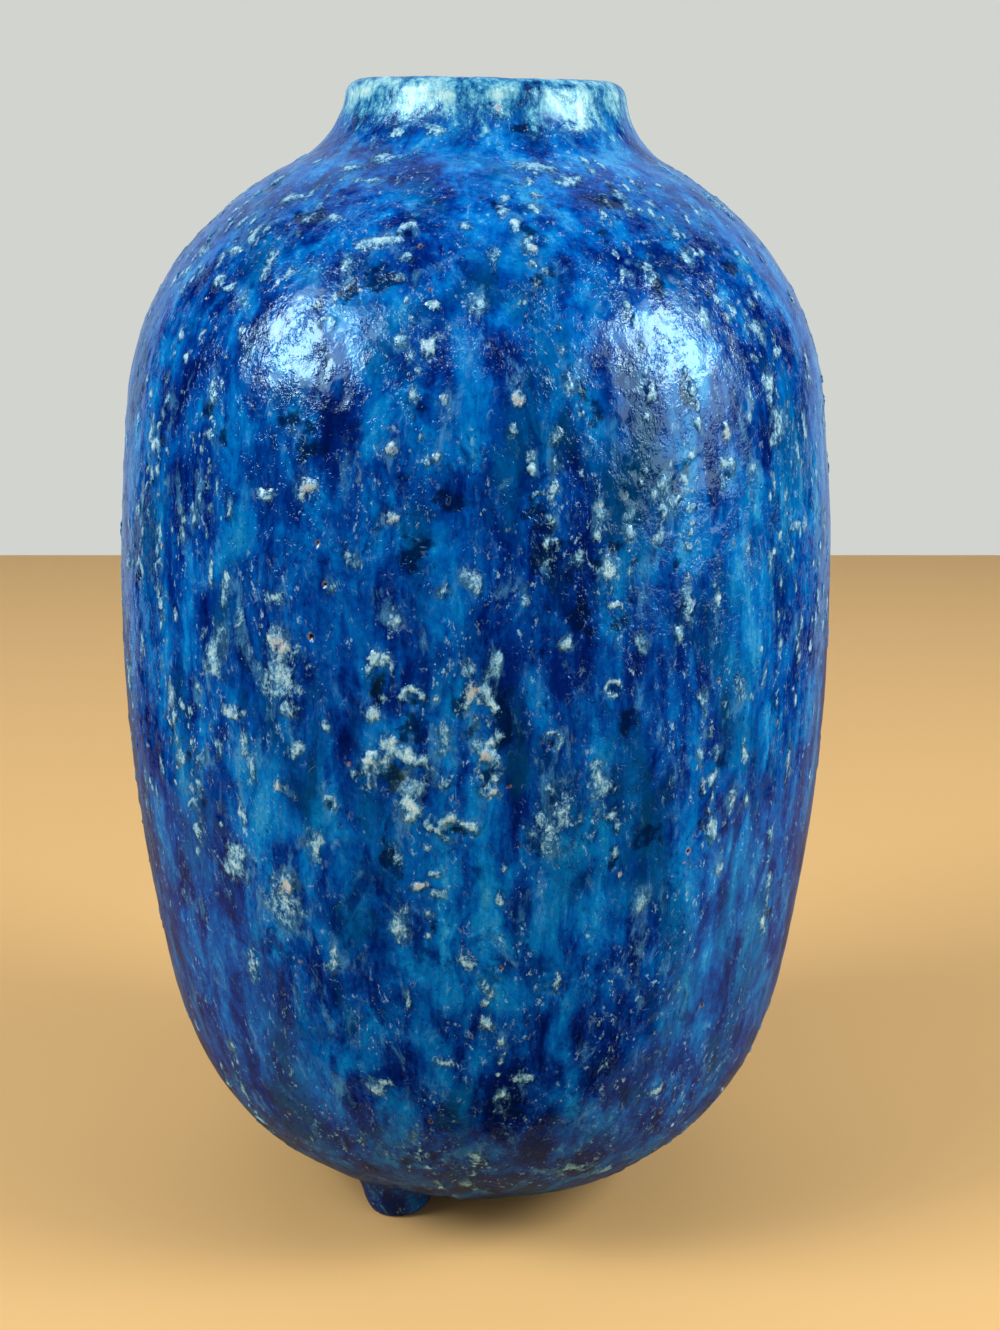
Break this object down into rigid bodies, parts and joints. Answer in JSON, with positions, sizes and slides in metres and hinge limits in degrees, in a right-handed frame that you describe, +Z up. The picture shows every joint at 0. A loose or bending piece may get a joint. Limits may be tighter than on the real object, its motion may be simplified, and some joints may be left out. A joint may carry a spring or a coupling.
{
  "type": "glazed jar",
  "caption": "Ovoid ceramic jar with a short flared neck, thick mottled blue glaze with raised pale crusts, and short bun feet.",
  "frame": {"origin": "on the floor plane, under the middle of the body", "axes": "+Z up through the body, -Y towards the viewer of the picture, +X to the viewer's right"},
  "size_m": [0.145, 0.146, 0.2306],
  "materials": {
    "clay": "bare fired clay, matt and slightly gritty",
    "slip": "fired joining slip",
    "blue_glaze": "thick glossy glaze, mottled cobalt to turquoise in vertical streaks, with fine ripples and pinholes",
    "rim_glaze": "glossy pale turquoise glaze with darker threads",
    "inside_glaze": "thin glossy blue-green glaze",
    "crust_glaze": "raised pale mint crusts, glossy"
  },
  "bodies": {
    "root": {"lower_wall": "clay", "upper_wall": "clay", "neck_collar": "clay", "belly_slip": "slip", "neck_slip": "slip", "feet_slip": "slip", "foot_1": "clay", "foot_2": "clay", "foot_3": "clay", "feet_glaze": "blue_glaze", "outer_glaze": "blue_glaze", "neck_glaze": "rim_glaze", "inner_glaze": "inside_glaze", "pale_crusts": "crust_glaze"}
  },
  "joints": []
}
